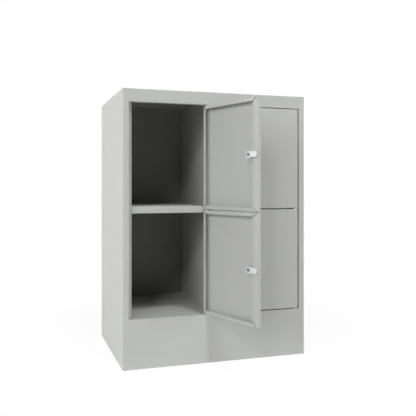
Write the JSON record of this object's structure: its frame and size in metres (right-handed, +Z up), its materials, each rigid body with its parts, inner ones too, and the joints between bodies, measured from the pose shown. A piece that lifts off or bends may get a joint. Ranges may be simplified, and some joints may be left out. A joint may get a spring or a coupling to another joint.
{
  "type": "compartment cabinet",
  "caption": "Folded sheet-steel compartment cabinet: two columns of lockable compartments with hinged doors and cam locks, above a closed plinth.",
  "frame": {"origin": "on the floor, under the centre wall's foot flange, in the middle of the carcass's width and depth", "axes": "+X to the right seen from the front, +Y towards the back, +Z up; the doors are on the -Y side"},
  "size_m": [0.6, 0.6867, 0.845],
  "materials": {
    "paint": "light grey satin powder coat on folded sheet steel",
    "zinc": "bright zinc plating, satin",
    "nickel": "satin nickel plating on the lock",
    "nylon": "natural white nylon"
  },
  "bodies": {
    "carcass": {"left_side_panel": "paint", "right_side_panel": "paint", "top_panel": "paint", "plinth_panel": "paint", "back_panel": "paint", "centre_wall": "paint", "centre_mullion": "paint", "left_floor": "paint", "left_shelf": "paint", "left_hinge_bracket": "zinc", "left_lower_pin": "zinc", "left_middle_pin": "zinc", "left_upper_pin": "zinc", "right_floor": "paint", "right_shelf": "paint", "right_hinge_bracket": "zinc", "right_lower_pin": "zinc", "right_middle_pin": "zinc", "right_upper_pin": "zinc"},
    "door_lower_left": {"lower_left_door": "paint", "lower_left_lower_bush": "nylon", "lower_left_upper_bush": "nylon", "lower_left_lock_body": "nickel", "lower_left_lock_nut": "zinc"},
    "door_upper_left": {"upper_left_door": "paint", "upper_left_lower_bush": "nylon", "upper_left_upper_bush": "nylon", "upper_left_lock_body": "nickel", "upper_left_lock_nut": "zinc"},
    "door_lower_right": {"lower_right_door": "paint", "lower_right_lower_bush": "nylon", "lower_right_upper_bush": "nylon", "lower_right_lock_body": "nickel", "lower_right_lock_nut": "zinc"},
    "door_upper_right": {"upper_right_door": "paint", "upper_right_lower_bush": "nylon", "upper_right_upper_bush": "nylon", "upper_right_lock_body": "nickel", "upper_right_lock_nut": "zinc"},
    "cam_lower_left": {"lower_left_lock_plug": "nickel", "lower_left_lock_cam": "zinc", "lower_left_cam_screw": "zinc"},
    "cam_upper_left": {"upper_left_lock_plug": "nickel", "upper_left_lock_cam": "zinc", "upper_left_cam_screw": "zinc"},
    "cam_lower_right": {"lower_right_lock_plug": "nickel", "lower_right_lock_cam": "zinc", "lower_right_cam_screw": "zinc"},
    "cam_upper_right": {"upper_right_lock_plug": "nickel", "upper_right_lock_cam": "zinc", "upper_right_cam_screw": "zinc"}
  },
  "joints": [
    {"name": "lower_left_door_hinge", "type": "hinge", "parent": "carcass", "child": "door_lower_left", "pos_m": [-0.033, -0.218, 0.31462], "axis": [0, 0, 1], "range_deg": [-108.5, 1.5]},
    {"name": "upper_left_door_hinge", "type": "hinge", "parent": "carcass", "child": "door_upper_left", "pos_m": [-0.033, -0.218, 0.64138], "axis": [0, 0, 1], "range_deg": [-108.5, 1.5]},
    {"name": "lower_right_door_hinge", "type": "hinge", "parent": "carcass", "child": "door_lower_right", "pos_m": [0.2695, -0.218, 0.31462], "axis": [0, 0, 1], "range_deg": [0, 110]},
    {"name": "upper_right_door_hinge", "type": "hinge", "parent": "carcass", "child": "door_upper_right", "pos_m": [0.2695, -0.218, 0.64138], "axis": [0, 0, 1], "range_deg": [0, 110]},
    {"name": "lower_left_cam_turn", "type": "hinge", "parent": "door_lower_left", "child": "cam_lower_left", "pos_m": [0.04265, -0.42204, 0.31462], "axis": [0.9483, 0.3173, 0], "range_deg": [0, 90]},
    {"name": "upper_left_cam_turn", "type": "hinge", "parent": "door_upper_left", "child": "cam_upper_left", "pos_m": [0.04265, -0.42204, 0.64138], "axis": [0.9483, 0.3173, 0], "range_deg": [0, 90]},
    {"name": "lower_right_cam_turn", "type": "hinge", "parent": "door_lower_right", "child": "cam_lower_right", "pos_m": [0.052, -0.218, 0.31462], "axis": [0, 1, 0], "range_deg": [0, 90]},
    {"name": "upper_right_cam_turn", "type": "hinge", "parent": "door_upper_right", "child": "cam_upper_right", "pos_m": [0.052, -0.218, 0.64138], "axis": [0, 1, 0], "range_deg": [0, 90]}
  ]
}
